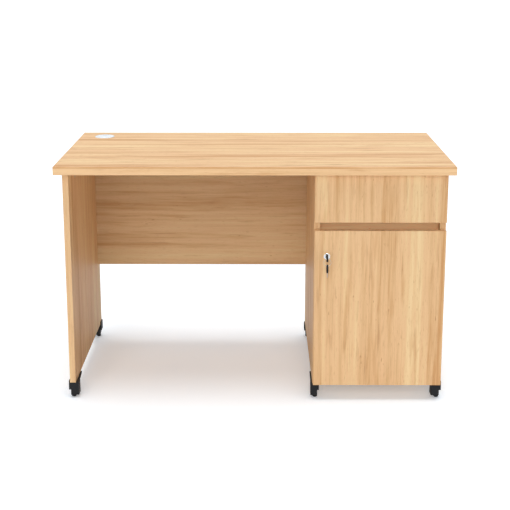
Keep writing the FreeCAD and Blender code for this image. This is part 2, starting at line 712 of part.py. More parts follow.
def foot_solid(lip_side, wraps):
    """A moulded foot under a board's end, drawn with the board's middle on the YZ plane.

    The board's end is at Y = 0 and its lower edge at Z = 0, and the board runs along +Y. The lip is on
    the side that lip_side names, +1 or -1, and the overhang on the other. A foot that wraps has a lip
    that climbs the board's face.
    """
    half = board / 2
    base_z = -foot_height + glide_height
    overhang = foot_overhang if wraps else foot_inner_overhang
    lip_x = half + (foot_lip if wraps else foot_inner_lip)
    block = box(-half - overhang, half - foot_step, 0, foot_block_depth, base_z, 0)
    block = rounded_edges(block, foot_corner, lambda e: along(e, V(0, 0, 1)) and e.BoundBox.YMin > foot_step)
    cheek = box(0, lip_x, 0, foot_block_depth, -foot_lip_down, 0)
    parts = [block, cheek]
    if wraps:
        climb = box(half, lip_x, 0, foot_block_depth, -foot_lip_down, foot_lip_up)
        parts.append(rounded_edges(climb, foot_corner, lambda e: along(e, V(0, 1, 0)) and
                                   e.BoundBox.XMin > half and e.BoundBox.ZMin > 0))
    tail = Part.Face(Part.makePolygon([
        V(-half - overhang, 0, 0), V(-half - foot_tail_overhang, foot_plate_length, 0),
        V(half - foot_step, foot_plate_length, 0), V(half - foot_step, 0, 0),
        V(-half - overhang, 0, 0)])).extrude(V(0, 0, -foot_plate))
    foot = fuse(parts + [tail])
    stem_hole = rod(glide_stem_radius + glide_play, V(0, glide_from_end, base_z - overrun), V(0, 0, 1),
                    glide_stem_length + glide_play + overrun)
    foot = foot.cut(stem_hole)
    if lip_side < 0:
        foot = foot.mirror(V(0, 0, 0), V(1, 0, 0))
    return foot


def make_feet():
    panels = (("left", left_x + board / 2, -1, True, "end_panel_left"),
              ("inner", ped_x + board / 2, 1, False, "pedestal_side_inner"),
              ("outer", right_x - board / 2, 1, True, "pedestal_side_outer"))
    for word, x, lip_side, wraps, panel in panels:
        for end, y, turn in (("front", carcass_y, 0), ("rear", rear_y, 180)):
            handed = -lip_side if word == "outer" and turn else lip_side
            foot = foot_solid(handed, wraps)
            foot.rotate(V(0, 0, 0), V(0, 0, 1), turn)
            foot.translate(V(x, y, foot_height))
            name = "foot_" + word + "_" + end
            add(name, foot)
            way = 1 if turn == 0 else -1
            for share in foot_screw_shares:
                spot = V(x, y + way * foot_plate_length * share, foot_height - foot_plate)
                fasten("carcass_screws", (name, panel), spot, V(0, 0, 1))
            centre = V(x, y + way * glide_from_end, 0)
            pad = rod(glide_radius, centre, V(0, 0, 1), glide_height - glide_collar)
            pad = broken_edges(pad, glide_bevel, lambda e: e.BoundBox.ZMax < glide_bevel)
            collar = rod(glide_collar_radius, centre + V(0, 0, glide_height - glide_collar), V(0, 0, 1),
                         glide_collar)
            stem = rod(glide_stem_radius, centre + V(0, 0, glide_height), V(0, 0, 1), glide_stem_length)
            add("glide_" + word + "_" + end, fuse([pad, collar, stem]))


make_worktop()
make_grommet()
make_carcass()
make_fittings()
make_shelf()
make_drawer()
make_runners()
make_door()
make_hinges()
make_lock()
make_feet()
write_pieces()
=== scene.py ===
"""Looks of an oak-faced office desk with a drawer over a lockable cupboard."""
import math

import bmesh
import bpy
from mathutils import Matrix, Vector


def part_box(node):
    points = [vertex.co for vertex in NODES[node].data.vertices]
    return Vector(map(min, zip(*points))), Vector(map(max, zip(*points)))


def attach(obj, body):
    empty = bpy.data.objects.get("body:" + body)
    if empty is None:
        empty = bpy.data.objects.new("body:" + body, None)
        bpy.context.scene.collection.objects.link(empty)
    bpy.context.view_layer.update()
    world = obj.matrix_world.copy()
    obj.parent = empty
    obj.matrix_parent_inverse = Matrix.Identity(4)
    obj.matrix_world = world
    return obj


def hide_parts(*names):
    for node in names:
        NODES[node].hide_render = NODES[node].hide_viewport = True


bl_info = {
    "name": "Office Desk Looks",
    "version": (1, 0, 0),
    "blender": (4, 5, 0),
    "location": "View3D > Sidebar > Office Desk",
    "description": "Finishes, fittings and studio for an oak-faced office desk",
    "category": "Add Mesh",
}

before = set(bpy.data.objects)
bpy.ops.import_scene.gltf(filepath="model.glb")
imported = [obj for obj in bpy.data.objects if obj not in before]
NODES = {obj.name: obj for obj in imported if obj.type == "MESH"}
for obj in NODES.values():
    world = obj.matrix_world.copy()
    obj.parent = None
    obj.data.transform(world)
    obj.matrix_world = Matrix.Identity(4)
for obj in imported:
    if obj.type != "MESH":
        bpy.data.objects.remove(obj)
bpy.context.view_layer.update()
WORKTOP_LOW, WORKTOP_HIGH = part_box("worktop_edging")
# Points closer than WELD metres are one point. Places and lengths are compared by DIGITS digits of a metre.
WELD = 1e-6
DIGITS = 5
# The sockets of a Mix node for colours, by number because the other types' sockets have the same names.
MIX_SHARE, MIX_UNDER, MIX_OVER, MIX_RESULT = 0, 6, 7, 2

# The turn that brings a board's grain, which runs along X or upright, onto the print's.
GRAINS = {"X": (0.0, 0.0, 0.0), "Z": (0.0, math.pi / 2, 0.0)}
# How often a streak sways along and across the grain, in turns for each metre.
WANDER_RATE = (1.6, 6.0, 6.0)
# What the print's tones are mixed from: the length along the grain in metres, the setting with the width, and
# the share of the mix. The fibres come last.
TONE_LAYERS = ((1.5, "band_width", 0.45), (0.7, "streak_width", 0.35), (0.10, "fibre_width", 0.20))
# The settings with the tones, and how far each lies from the middle of the mix.
TONES = (("dark", -0.13), ("middle", -0.06), ("rosy", 0.0), ("light", 0.06), ("pale", 0.12))
# What is drawn over the tones: the length along the grain in metres, the setting with the width, the detail
# of its noise, the noise values where it starts and is full, its strength, and the setting with its colour.
# The pores come last.
FIGURES = (
    (0.22, "line_width", 3.0, 0.56, 0.76, 0.65, "dark"),
    (0.13, "fleck_width", 4.0, 0.60, 0.76, 0.45, "mark"),
    (0.03, "knot_width", 1.0, 0.745, 0.81, 0.55, "mark"),
    (0.02, "pore_width", 1.0, 0.62, 0.76, 0.32, "mark"),
)
# How often the streak along the worktop's upper edge swells and fades, in turns for each metre.
EDGE_RATE = (7.0, 7.0, 60.0)

# Most of a noise's values lie between these two.
NOISE_LOW, NOISE_HIGH = 0.3, 0.7
# How much rougher and smoother a speckled finish gets than its mean.
GLOSS_CHANGE = 0.06
# How wide a brushed line is for its length, and how dark it gets.
LINE_SLIMNESS = 0.03
LINE_SHADE = 0.9

# How many steps the key's bow, its eyelet and its hole are drawn with.
BOW_STEPS, EYELET_STEPS, HOLE_STEPS = 40, 24, 20


def linear(hex_colour):
    """An sRGB hex colour such as E4BE8E as linear red, green and blue."""
    channels = [int(hex_colour[i:i + 2], 16) / 255 for i in (0, 2, 4)]
    return tuple(c / 12.92 if c <= 0.04045 else ((c + 0.055) / 1.055) ** 2.4 for c in channels)


class OakSettings(bpy.types.PropertyGroup):
    pale: bpy.props.FloatVectorProperty(
        name="Pale wood", description="Palest colour between the streaks", subtype="COLOR",
        default=linear("F5D29F"))
    light: bpy.props.FloatVectorProperty(
        name="Light wood", description="Yellowish colour of the light bands", subtype="COLOR",
        default=linear("EFC894"))
    rosy: bpy.props.FloatVectorProperty(
        name="Rosy wood", description="Pinkish colour of most of the board", subtype="COLOR",
        default=linear("EEC190"))
    middle: bpy.props.FloatVectorProperty(
        name="Middle wood", description="Colour of the edges of the streaks", subtype="COLOR",
        default=linear("E5B886"))
    dark: bpy.props.FloatVectorProperty(
        name="Dark streaks", description="Colour of the darker streaks", subtype="COLOR",
        default=linear("D49E69"))
    mark: bpy.props.FloatVectorProperty(
        name="Marks", description="Colour of the flecks, knots and pores", subtype="COLOR",
        default=linear("B17446"))
    band_width: bpy.props.FloatProperty(
        name="Band width", description="Width of the broad tonal bands across the grain",
        default=0.062, unit="LENGTH")
    streak_width: bpy.props.FloatProperty(
        name="Streak width", description="Width of the streaks across the grain",
        default=0.015, unit="LENGTH")
    line_width: bpy.props.FloatProperty(
        name="Line width", description="Width of the long dark lines across the grain",
        default=0.017, unit="LENGTH")
    fleck_width: bpy.props.FloatProperty(
        name="Fleck width", description="Width of the short brown flecks", default=0.012, unit="LENGTH")
    knot_width: bpy.props.FloatProperty(
        name="Knot width", description="Width of the small scattered knots", default=0.008, unit="LENGTH")
    pore_width: bpy.props.FloatProperty(
        name="Pore width", description="Width of the pores, drawn coarse enough to show",
        default=0.0016, unit="LENGTH")
    fibre_width: bpy.props.FloatProperty(
        name="Fibre width", description="Width of the fine fibres, drawn coarse enough to show",
        default=0.0026, unit="LENGTH")
    wander: bpy.props.FloatProperty(
        name="Wander", description="How far the streaks stray from a straight line",
        default=0.011, unit="LENGTH")
    edge_streak: bpy.props.FloatProperty(
        name="Edge streak", description="Height of the darker streak along the worktop's upper edge",
        default=0.0065, unit="LENGTH")


class FittingSettings(bpy.types.PropertyGroup):
    black: bpy.props.FloatVectorProperty(
        name="Feet and key heads", description="Colour of the black mouldings", subtype="COLOR",
        default=linear("1D1D1E"))
    white: bpy.props.FloatVectorProperty(
        name="Grommet", description="Colour of the cable grommet", subtype="COLOR", default=linear("EDF1F4"))


class ScrewSettings(bpy.types.PropertyGroup):
    head_height: bpy.props.FloatProperty(
        name="Head height", description="Height of a pan head over its seat", default=0.0011, unit="LENGTH")
    shank_radius: bpy.props.FloatProperty(
        name="Shank radius", description="Radius over a screw's thread", default=0.00175, unit="LENGTH")
    thread_pitch: bpy.props.FloatProperty(
        name="Thread pitch", description="Rise of the thread in one turn", default=0.0016, unit="LENGTH")
    recess_width: bpy.props.FloatProperty(
        name="Recess width", description="Width of the cross recess's slots", default=0.0009, unit="LENGTH")
    recess_depth: bpy.props.FloatProperty(
        name="Recess depth", description="Depth of the cross recess in the head", default=0.0008,
        unit="LENGTH")


class KeySettings(bpy.types.PropertyGroup):
    neck: bpy.props.FloatProperty(
        name="Neck", description="Distance from the lock's face to the key's round head", default=0.005,
        unit="LENGTH")
    rim: bpy.props.FloatProperty(
        name="Rim", description="Width of the raised rim round the key's head", default=0.0021, unit="LENGTH")
    panel_drop: bpy.props.FloatProperty(
        name="Panel drop", description="How far the head's faces lie below its rim", default=0.0007,
        unit="LENGTH")
    blade_height: bpy.props.FloatProperty(
        name="Blade height", description="Height of the steel blade", default=0.0066, unit="LENGTH")
    blade_thickness: bpy.props.FloatProperty(
        name="Blade thickness", description="Thickness of the steel blade", default=0.002, unit="LENGTH")
    hole_inset: bpy.props.FloatProperty(
        name="Hole inset", description="Distance from the head's far end to the middle of its ring hole",
        default=0.0042, unit="LENGTH")
    hole_radius: bpy.props.FloatProperty(
        name="Hole radius", description="Radius of the ring hole", default=0.0019, unit="LENGTH")
    wire_width: bpy.props.FloatProperty(
        name="Ring wire width", description="Width of the split ring's flat wire", default=0.0011,
        unit="LENGTH")
    wire_turns: bpy.props.FloatProperty(
        name="Ring turns", description="Turns of wire in the split ring", default=1.94)


class EdgeBandSettings(bpy.types.PropertyGroup):
    depth: bpy.props.FloatProperty(
        name="Band depth", description="How far the edge band reaches back over the board",
        default=0.0010, unit="LENGTH")
    proud: bpy.props.FloatProperty(
        name="Band height", description="How far the band stands over the board's edge",
        default=0.00025, unit="LENGTH")
    lap: bpy.props.FloatProperty(
        name="Band lap", description="How far the band stands over the board's faces",
        default=0.0001, unit="LENGTH")
    radius: bpy.props.FloatProperty(
        name="Band radius", description="Radius of the band's corners", default=0.0005, unit="LENGTH")


class StageSettings(bpy.types.PropertyGroup):
    camera_from_front: bpy.props.FloatProperty(
        name="Camera distance", description="Distance of the camera from the worktop's front edge",
        default=3.0798, unit="LENGTH")
    camera_height: bpy.props.FloatProperty(
        name="Camera height", description="Height of the camera over the floor",
        default=1.3884, unit="LENGTH")
    camera_aside: bpy.props.FloatProperty(
        name="Camera aside", description="Distance of the camera to the right of the desk's middle",
        default=0.0131, unit="LENGTH")
    pitch: bpy.props.FloatProperty(
        name="Pitch", description="How far the camera looks down", default=0.215, unit="ROTATION")
    yaw: bpy.props.FloatProperty(
        name="Yaw", description="How far the camera is turned to the left", default=0.004, unit="ROTATION")
    lens: bpy.props.FloatProperty(
        name="Lens", description="Focal length for a 36 mm sensor, in millimetres", default=75.0)
    shift: bpy.props.FloatProperty(
        name="Shift", description="The lens shift that puts the desk at the picture's height", default=-0.15)
    floor: bpy.props.FloatVectorProperty(
        name="Floor", description="Colour of the floor", subtype="COLOR", default=linear("F7FAFD"))
    floor_lift: bpy.props.FloatProperty(
        name="Floor lift", description="Light that the camera alone sees on the floor", default=0.25)
    ambient: bpy.props.FloatProperty(
        name="Ambient", description="Strength of the light from all round", default=0.335)
    ambient_colour: bpy.props.FloatVectorProperty(
        name="Ambient colour", description="Colour of the light from all round", subtype="COLOR",
        default=linear("E6F2FF"))
    overhead: bpy.props.FloatProperty(
        name="Overhead", description="Share of white that the light from above gives a level surface",
        default=0.585)
    front_light: bpy.props.FloatProperty(
        name="Front light", description="Share of white that the light over the camera gives a surface that "
        "faces it", default=0.365)
    front_angle: bpy.props.FloatProperty(
        name="Front light angle", description="How high the front light stands", default=0.42,
        unit="ROTATION")


def rgba(colour):
    return tuple(colour) + (1.0,)


def add_node(tree, kind, inputs=None, stops=(), **settings):
    """Add one node with its settings and links.

    inputs maps a socket's name or number to a value, to an output, or to a node whose first output is meant.
    stops are a colour ramp's places and colours.
    """
    node = tree.nodes.new(kind)
    for key, value in settings.items():
        setattr(node, key, value)
    for socket, value in (inputs or {}).items():
        if isinstance(value, bpy.types.Node):
            value = value.outputs[0]
        if isinstance(value, bpy.types.NodeSocket):
            tree.links.new(value, node.inputs[socket])
        else:
            node.inputs[socket].default_value = value
    for number, (place, colour) in enumerate(stops):
        elements = node.color_ramp.elements
        stop = elements[number] if number < len(elements) else elements.new(place)
        stop.position = place
        stop.color = rgba(colour)
    return node


def noise(tree, place, rate, detail):
    """Noise at a place, which varies along each axis by a rate in turns for each metre."""
    stretched = add_node(tree, "ShaderNodeVectorMath", {0: place, 1: rate}, operation="MULTIPLY")
    return add_node(tree, "ShaderNodeTexNoise", {"Vector": stretched, "Scale": 1.0, "Detail": detail})


def new_finish(name, **sockets):
    """A material with one principled shader whose plain sockets are set by name."""
    material = bpy.data.materials.new(name)
    material.use_nodes = True
    shader = material.node_tree.nodes["Principled BSDF"]
    for key, value in sockets.items():
        shader.inputs[key.replace("_", " ")].default_value = value
    return material, material.node_tree, shader


def put(node, material):
    """Give a CAD node or a piece one material."""
    mesh = NODES[node].data if isinstance(node, str) else node.data
    mesh.materials.clear()
    mesh.materials.append(material)


def linked(name, data):
    """A new object in the scene that carries the given data."""
    made = bpy.data.objects.new(name, data)
    bpy.context.scene.collection.objects.link(made)
    return made


def evaluated(holder):
    """The mesh that a helper object comes to. The object itself is removed."""
    mesh = bpy.data.meshes.new_from_object(holder.evaluated_get(bpy.context.evaluated_depsgraph_get()))
    bpy.data.objects.remove(holder)
    return mesh


# Oak-decor melamine on chipboard, pressed flat between printed paper and a steel plate. The eye sees
# pale tan wood with straight darker streaks along the grain, a few short brown marks, and a dull satin
# sheen. The fibres and the pores are drawn coarser than the print's own, so that they show.
def oak_melamine(name, grain, offset, shade=0.97, contrast=1.0, warmth=1.0):
    wood = bpy.context.scene.desk_oak
    # shade and warmth scale the tones. On the boards in the knee space and on the finger rail they are
    # painted shade and painted light.
    cast = (shade * warmth, shade, shade / warmth)
    material, tree, shader = new_finish(name, Specular_IOR_Level=0.13, IOR=1.5)
    coords = add_node(tree, "ShaderNodeTexCoord")
    along = add_node(tree, "ShaderNodeMapping", {
        "Vector": coords.outputs["Object"], "Rotation": GRAINS[grain]})
    place = add_node(tree, "ShaderNodeMapping", {"Vector": along, "Location": offset})
    wander = noise(tree, place, WANDER_RATE, detail=1.0)
    centred = add_node(tree, "ShaderNodeVectorMath", {0: wander.outputs["Color"], 1: (0.5, 0.5, 0.5)},
                       operation="SUBTRACT")
    drift = add_node(tree, "ShaderNodeVectorMath", {0: centred, 1: (0.0, wood.wander, wood.wander)},
                     operation="MULTIPLY")
    wavy = add_node(tree, "ShaderNodeVectorMath", {0: place, 1: drift})

    def layer(length, setting, detail):
        width = getattr(wood, setting)
        return noise(tree, wavy, (1 / length, 1 / width, 1 / width), detail)

    def dyed(setting):
        return [channel * change for channel, change in zip(getattr(wood, setting), cast)]

    mix = 0.0
    for length, setting, share in TONE_LAYERS:
        fibres = layer(length, setting, 2.0)
        mix = add_node(tree, "ShaderNodeMath", {0: fibres, 1: share, 2: mix}, operation="MULTIPLY_ADD")
    colour = add_node(tree, "ShaderNodeValToRGB", {"Fac": mix}, stops=[
        (0.5 + spread / contrast, dyed(tone)) for tone, spread in TONES]).outputs["Color"]
    for length, setting, detail, start, full, strength, tint in FIGURES:
        pores = add_node(tree, "ShaderNodeMapRange", {
            "Value": layer(length, setting, detail), "From Min": start, "From Max": full,
            "To Max": min(strength * contrast, 1.0)})
        colour = add_node(tree, "ShaderNodeMix", {
            MIX_SHARE: pores, MIX_UNDER: colour, MIX_OVER: rgba(dyed(tint))},
            data_type="RGBA").outputs[MIX_RESULT]
    tree.links.new(colour, shader.inputs["Base Color"])
    gloss = add_node(tree, "ShaderNodeMapRange", {"Value": fibres, "To Min": 0.42, "To Max": 0.52})
    tree.links.new(gloss.outputs[0], shader.inputs["Roughness"])
    relief = add_node(tree, "ShaderNodeMath", {0: fibres, 1: pores}, operation="SUBTRACT")
    bump = add_node(tree, "ShaderNodeBump", {"Strength": 0.25, "Distance": 0.0002, "Height": relief})
    tree.links.new(bump.outputs[0], shader.inputs["Normal"])
    return material


# The same print on the worktop's 2 mm edging, which is drawn darker along its upper edge.
def oak_edging(*cut):
    wood = bpy.context.scene.desk_oak
    material = oak_melamine(*cut)
    tree = material.node_tree
    shader = tree.nodes["Principled BSDF"]
    coords = add_node(tree, "ShaderNodeTexCoord")
    height = add_node(tree, "ShaderNodeSeparateXYZ", {"Vector": coords.outputs["Object"]})
    broken = noise(tree, coords.outputs["Object"], EDGE_RATE, detail=2.0)
    streak = add_node(tree, "ShaderNodeMapRange", {
        "Value": height.outputs["Z"], "From Min": WORKTOP_HIGH.z - wood.edge_streak,
        "From Max": WORKTOP_HIGH.z - wood.edge_streak / 2})
    uneven = add_node(tree, "ShaderNodeMapRange", {
        "Value": broken, "From Min": 0.3, "From Max": 0.6, "To Min": 0.45, "To Max": 0.95})
    amount = add_node(tree, "ShaderNodeMath", {0: streak, 1: uneven}, operation="MULTIPLY")
    plain = shader.inputs["Base Color"].links[0].from_socket
    mixed = add_node(tree, "ShaderNodeMix", {
        MIX_SHARE: amount, MIX_UNDER: plain, MIX_OVER: rgba(wood.dark)}, data_type="RGBA")
    tree.links.new(mixed.outputs[MIX_RESULT], shader.inputs["Base Color"])
    return material


def speckled(name, colour, change, grain, roughness, relief, **sockets):
    """A finish whose colour, gloss and relief vary by one noise.

    change is the share by which the colour varies. grain and relief are the noise's size and depth in metres.
    """
    material, tree, shader = new_finish(name, **sockets)
    coords = add_node(tree, "ShaderNodeTexCoord")
    fine = noise(tree, coords.outputs["Object"], [1 / grain] * 3, detail=3.0)
    tones = add_node(tree, "ShaderNodeValToRGB", {"Fac": fine}, stops=[
        (NOISE_LOW, [c * (1 - change) for c in colour]), (NOISE_HIGH, [c * (1 + change) for c in colour])])
    tree.links.new(tones.outputs["Color"], shader.inputs["Base Color"])
    gloss = add_node(tree, "ShaderNodeMapRange", {
        "Value": fine, "To Min": roughness - GLOSS_CHANGE, "To Max": roughness + GLOSS_CHANGE})
    tree.links.new(gloss.outputs[0], shader.inputs["Roughness"])
    bump = add_node(tree, "ShaderNodeBump", {"Strength": 0.3, "Distance": relief, "Height": fine})
    tree.links.new(bump.outputs[0], shader.inputs["Normal"])
    return material


def brushed(name, colour, direction, line, roughness):
    """A metal with fine lines along one axis, whose width in metres is line."""
    material, tree, shader = new_finish(name, Metallic=1.0)
    coords = add_node(tree, "ShaderNodeTexCoord")
    rate = [LINE_SLIMNESS / line if axis == direction else 1 / line for axis in "XYZ"]
    lines = noise(tree, coords.outputs["Object"], rate, detail=2.0)
    tones = add_node(tree, "ShaderNodeValToRGB", {"Fac": lines}, stops=[
        (NOISE_LOW, [c * LINE_SHADE for c in colour]), (NOISE_HIGH, colour)])
    tree.links.new(tones.outputs["Color"], shader.inputs["Base Color"])
    gloss = add_node(tree, "ShaderNodeMapRange", {
        "Value": lines, "To Min": roughness * 0.7, "To Max": roughness * 1.3})
    tree.links.new(gloss.outputs[0], shader.inputs["Roughness"])
    return material


# Black polypropylene of the feet, glides and key heads, injection moulded with a spark-eroded texture: near
# black and dull. The texture's grain of about 0.1 mm is drawn at 0.6 mm, so that it shows.
def black_moulding():
    return speckled("black_polypropylene", bpy.context.scene.desk_fittings.black, change=0.18, grain=0.0006,
                    roughness=0.5, relief=0.00008, Specular_IOR_Level=0.25)


# White ABS, moulded smooth, with a faint cool tone, a soft gloss and slow ripples about 1.5 mm wide.
def white_moulding():
    return speckled("white_abs", bpy.context.scene.desk_fittings.white, change=0.012, grain=0.0015,
                    roughness=0.36, relief=0.00002)


# White melamine on the drawer's boards, with the pearl grain of its press plate. The grain of about 0.3 mm is
# drawn at 0.9 mm, so that it shows.
def white_melamine():
    return speckled("white_melamine", linear("EBE9E4"), change=0.02, grain=0.0009, roughness=0.48,
                    relief=0.00003)


# Epoxy-coated steel of the roller runners: creamy white powder coat with a light orange peel.
def coated_steel():
    return speckled("epoxy_coated_steel", linear("E9E7E0"), change=0.015, grain=0.0022, roughness=0.34,
                    relief=0.00005)


# Moulded acetal of the rollers: waxy off-white with a soft sheen.
def acetal():
    return speckled("acetal", linear("E8E6DD"), change=0.02, grain=0.0012, roughness=0.38, relief=0.00002,
                    Subsurface_Weight=0.1)


# Zinc plate on the screws, the board fittings, the shelf pins and the lock's cam: blue-grey, slightly cloudy.
def zinc_plate():
    return speckled("zinc_plate", linear("C3C6CC"), change=0.12, grain=0.0011, roughness=0.34,
                    relief=0.00003, Metallic=1.0)


# Bright nickel plate on the hinges, the strike plate and the key ring: warm silver with faint polishing
# lines. Real ones are finer than 0.1 mm, and they are drawn at 0.5 mm, so that they show.
def nickel_plate():
    return brushed("nickel_plate", linear("DEDCD6"), "X", line=0.0005, roughness=0.24)


# Chrome on the lock's rose and plug, polished like a mirror: it shows the room, so it looks white. Its last
# polishing lines are drawn at 0.4 mm, coarser than real ones, so that they show.
def polished_chrome():
    return brushed("polished_chrome", linear("F7F7F6"), "X", line=0.0004, roughness=0.1)


# Steel key blades, milled and left bare: grey, with lines drawn at 0.4 mm, coarser than real ones, so that
# they show.
def milled_steel():
    return brushed("milled_steel", linear("BDBEC0"), "Z", line=0.0004, roughness=0.3)


# Turned beech of the dowels: pale pinkish wood with short flecks.
def beech():
    return speckled("beech", linear("D8B48A"), change=0.14, grain=0.0012, roughness=0.6, relief=0.00005)


# Clear soft polyurethane of the stick-on door bumpers: it lets the board's colour through.
def soft_bumper():
    return new_finish("clear_polyurethane", Base_Color=rgba(linear("E6E6E2")), Roughness=0.25,
                      Transmission_Weight=0.6)[0]


BOARDS = {
    # node: grain axis, offset of its cut from the print in metres, and the shade, contrast and warmth of its
    # tones where they differ from most boards'. On the boards in the knee space and on the finger rail, the
    # shade and warmth are painted shade and painted light.
    "worktop": ("X", (0.35, 0.11, 0.05), 1.0, 1.35),
    "worktop_edging": ("X", (1.65, 0.37, 0.21), 1.09, 0.8, 0.98),
    # Painted shade: the panel in the knee space is drawn darker and cooler, standing in for the shade under
    # the worktop and for less red bounce light.
    "modesty_panel": ("X", (3.10, 0.80, 0.33), 0.84, 0.9, 0.965),
    # Painted light: the finger rail in its recess under the drawer front is drawn 1.4 times lighter than the
    # other boards.
    "finger_rail": ("X", (4.40, 0.12, 0.47), 1.40),
    "pedestal_bottom": ("X", (5.20, 0.50, 0.11)),
    "pedestal_divider": ("X", (6.70, 0.90, 0.17)),
    "shelf": ("X", (7.30, 0.20, 0.29)),
    "top_rails": ("X", (8.10, 0.60, 0.37)),
    "pedestal_back": ("Z", (2.20, 0.40, 0.43)),
    # Painted shade: the left end panel is drawn a little darker, for its inner face in the knee space.
    "end_panel_left": ("Z", (0.90, 0.70, 0.59), 0.96, 1.15),
    # Painted shade: the pedestal's inner side is drawn darker, for its face in the knee space.
    "pedestal_side_inner": ("Z", (5.90, 0.30, 0.61), 0.90, 1.3),
    "pedestal_side_outer": ("Z", (3.70, 0.10, 0.71)),
    "drawer_front": ("Z", (1.30, 0.25, 0.83)),
    "door": ("Z", (1.30, 0.25, 0.83)),
}


class DESK_OT_boards(bpy.types.Operator):
    """Face the boards, the drawer front and the door with oak melamine, each cut from its own place"""
    bl_idname = "desk.boards"
    bl_label = "Oak Boards"

    def execute(self, context):
        for node, cut in BOARDS.items():
            finish = oak_edging if node == "worktop_edging" else oak_melamine
            put(node, finish("oak_melamine_" + node, *cut))
        return {"FINISHED"}


def rounded_strip(name, low, high, radius, length_axis):
    """A closed bar between two corners whose two long corners at the front are rounded."""
    mesh = bpy.data.meshes.new(name)
    piece = linked(name, mesh)
    shape = bmesh.new()
    bmesh.ops.create_cube(shape, size=1.0)
    for vertex in shape.verts:
        for axis in range(3):
            vertex.co[axis] = low[axis] if vertex.co[axis] < 0 else high[axis]
    front_edges = []
    for edge in shape.edges:
        start, end = (vertex.co for vertex in edge.verts)
        if start[length_axis] != end[length_axis] and start.y == low.y:
            front_edges.append(edge)
    bmesh.ops.bevel(shape, geom=front_edges, offset=radius, segments=3, profile=0.5, affect="EDGES")
    shape.to_mesh(mesh)
    shape.free()
    return piece


BANDED = {
    # node: body, the grain axis of its band, the offset of its cut
    "end_panel_left": ("carcass", "Z", (0.2, 0.3, 0.9)),
    "pedestal_side_inner": ("carcass", "Z", (1.2, 0.5, 0.8)),
    "pedestal_side_outer": ("carcass", "Z", (2.2, 0.7, 0.7)),
    "pedestal_bottom": ("carcass", "X", (3.2, 0.9, 0.6)),
    "shelf": ("carcass", "X", (4.2, 0.2, 0.5)),
}


class DESK_OT_edge_bands(bpy.types.Operator):
    """Band the boards' front edges with a thin strip whose corners are rounded"""
    bl_idname = "desk.edge_bands"
    bl_label = "Edge Bands"

    def execute(self, context):
        band = context.scene.desk_band
        for node, (body, grain, offset) in BANDED.items():
            low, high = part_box(node)
            width_axis, length_axis = (0, 2) if grain == "Z" else (2, 0)
            start, end = low.copy(), high.copy()
            start.y = low.y - band.proud
            end.y = low.y + band.depth
            start[width_axis] -= band.lap
            end[width_axis] += band.lap
            piece = rounded_strip(node + "_band", start, end, band.radius, length_axis)
            put(piece, oak_melamine("oak_abs_band_" + node, grain, offset))
            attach(piece, body)
        return {"FINISHED"}


class DESK_OT_drawer_box(bpy.types.Operator):
    """Finish the white drawer box, its runners and their rollers"""
    bl_idname = "desk.drawer_box"
    bl_label = "Drawer Box and Runners"

    def execute(self, context):
        boards, steel, rollers = white_melamine(), coated_steel(), acetal()
        for node in ("drawer_side_left", "drawer_side_right", "drawer_back", "drawer_bottom"):
            put(node, boards)
        for side in ("left", "right"):
            for part, finish in (("runner", steel), ("roller", rollers)):
                put(part + "_cabinet_" + side, finish)
                put(part + "_drawer_" + side, finish)
        return {"FINISHED"}


class DESK_OT_metalwork(bpy.types.Operator):
    """Finish the hinges, the lock, the striker and the hidden fittings"""
    bl_idname = "desk.metalwork"
    bl_label = "Hinges, Lock and Fittings"

    def execute(self, context):
        nickel, zinc = nickel_plate(), zinc_plate()
        for node in ("hinge_cups", "hinge_arms", "hinge_plates", "strike_plate"):
            put(node, nickel)
        chrome = polished_chrome()
        for node in ("lock_housing", "lock_plug"):
            put(node, chrome)
        for node in ("cam_discs", "cam_bolts", "shelf_pins", "lock_cam", "lock_cam_nut"):
            put(node, zinc)
        put("dowels", beech())
        put("door_bumpers", soft_bumper())
        return {"FINISHED"}


class DESK_OT_mouldings(bpy.types.Operator):
    """Finish the feet, the glides and the cable grommet"""
    bl_idname = "desk.mouldings"
    bl_label = "Feet, Glides and Grommet"

    def execute(self, context):
        black, white = black_moulding(), white_moulding()
        for node in NODES:
            if node.startswith(("foot_", "glide_")):
                put(node, black)
        put("grommet_liner", white)
        put("grommet_cap", white)
        return {"FINISHED"}


def new_tree(name, sizes):
    """A Geometry Nodes tree with a geometry input, a material input and one input for each named size."""
    tree = bpy.data.node_groups.new(name, "GeometryNodeTree")
    tree.interface.new_socket("Geometry", in_out="INPUT", socket_type="NodeSocketGeometry")
    tree.interface.new_socket("Material", in_out="INPUT", socket_type="NodeSocketMaterial")
    for size in sizes:
        tree.interface.new_socket(size, in_out="INPUT", socket_type="NodeSocketFloat")
    tree.interface.new_socket("Geometry", in_out="OUTPUT", socket_type="NodeSocketGeometry")
    return tree, add_node(tree, "NodeGroupInput").outputs


def raised(tree, shape, size, share):
    """The shape, moved along Z by a share of a size."""
    height = add_node(tree, "ShaderNodeMath", {0: size, 1: share}, operation="MULTIPLY")
    offset = add_node(tree, "ShaderNodeCombineXYZ", {"Z": height})
    return add_node(tree, "GeometryNodeTransform", {"Geometry": shape, "Translation": offset}).outputs[0]


def place_copies(tree, given, shape):
    """End a tree: one copy of shape on each given point, its Z turned to the point's axis, made real."""
    axis = add_node(tree, "GeometryNodeInputNamedAttribute", {"Name": "axis"}, data_type="FLOAT_VECTOR")
    turn = add_node(tree, "FunctionNodeAlignRotationToVector", {"Vector": axis}, axis="Z")
    copies = add_node(tree, "GeometryNodeInstanceOnPoints", {
        "Points": given["Geometry"], "Instance": shape, "Rotation": turn})
    real = add_node(tree, "GeometryNodeRealizeInstances", {"Geometry": copies})
    finish = add_node(tree, "GeometryNodeSetMaterial", {"Geometry": real, "Material": given["Material"]})
    add_node(tree, "NodeGroupOutput", {"Geometry": finish})


